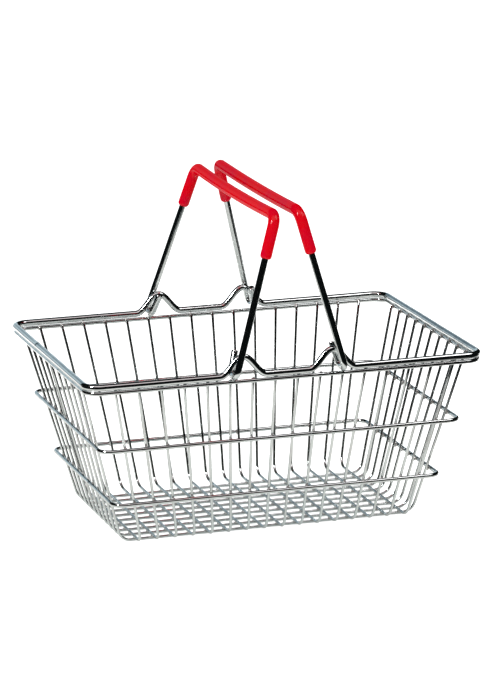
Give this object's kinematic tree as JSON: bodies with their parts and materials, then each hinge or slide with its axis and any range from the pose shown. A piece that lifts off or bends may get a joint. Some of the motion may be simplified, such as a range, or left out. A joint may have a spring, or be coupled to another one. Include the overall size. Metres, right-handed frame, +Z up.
{
  "type": "wire shopping basket",
  "caption": "Hand-held welded wire shopping basket, tapered so that it nests, with two folding bail handles that carry plastic grips.",
  "frame": {"origin": "on the ground under the middle of the basket", "axes": "+Z up, +X along the basket's long side from the left handle towards the right one, -Y towards the front wall"},
  "size_m": [0.4342, 0.3258, 0.3558],
  "materials": {
    "rim_chrome": "bright chrome plate on thick drawn steel wire",
    "wire_chrome": "bright chrome plate on thin drawn steel wire, weld marks where wires cross",
    "handle_chrome": "bright chrome plate, rubbed at the hooks",
    "grip_vinyl": "glossy soft vinyl sleeve, smooth"
  },
  "bodies": {
    "basket": {"top_rim": "rim_chrome", "lower_rim": "rim_chrome", "upper_hoop": "wire_chrome", "lower_hoop": "wire_chrome", "cross_wire_1": "wire_chrome", "cross_wire_2": "wire_chrome", "cross_wire_3": "wire_chrome", "cross_wire_4": "wire_chrome", "cross_wire_5": "wire_chrome", "cross_wire_6": "wire_chrome", "cross_wire_7": "wire_chrome", "cross_wire_8": "wire_chrome", "cross_wire_9": "wire_chrome", "cross_wire_10": "wire_chrome", "cross_wire_11": "wire_chrome", "cross_wire_12": "wire_chrome", "cross_wire_13": "wire_chrome", "cross_wire_14": "wire_chrome", "cross_wire_15": "wire_chrome", "cross_wire_16": "wire_chrome", "long_wire_1": "wire_chrome", "long_wire_2": "wire_chrome", "long_wire_3": "wire_chrome", "long_wire_4": "wire_chrome", "long_wire_5": "wire_chrome", "long_wire_6": "wire_chrome", "long_wire_7": "wire_chrome", "long_wire_8": "wire_chrome", "long_wire_9": "wire_chrome", "long_wire_10": "wire_chrome"},
    "handle_left": {"left_handle": "handle_chrome", "left_grip": "grip_vinyl"},
    "handle_right": {"right_handle": "handle_chrome", "right_grip": "grip_vinyl"}
  },
  "joints": [
    {"name": "handle_left_fold", "type": "hinge", "parent": "basket", "child": "handle_left", "pos_m": [-0.059, 0, 0.1862], "axis": [0, 1, 0], "range_deg": [-99.4, 0.5]},
    {"name": "handle_right_fold", "type": "hinge", "parent": "basket", "child": "handle_right", "pos_m": [0.059, 0, 0.1862], "axis": [0, 1, 0], "range_deg": [-3.9, 96]}
  ]
}
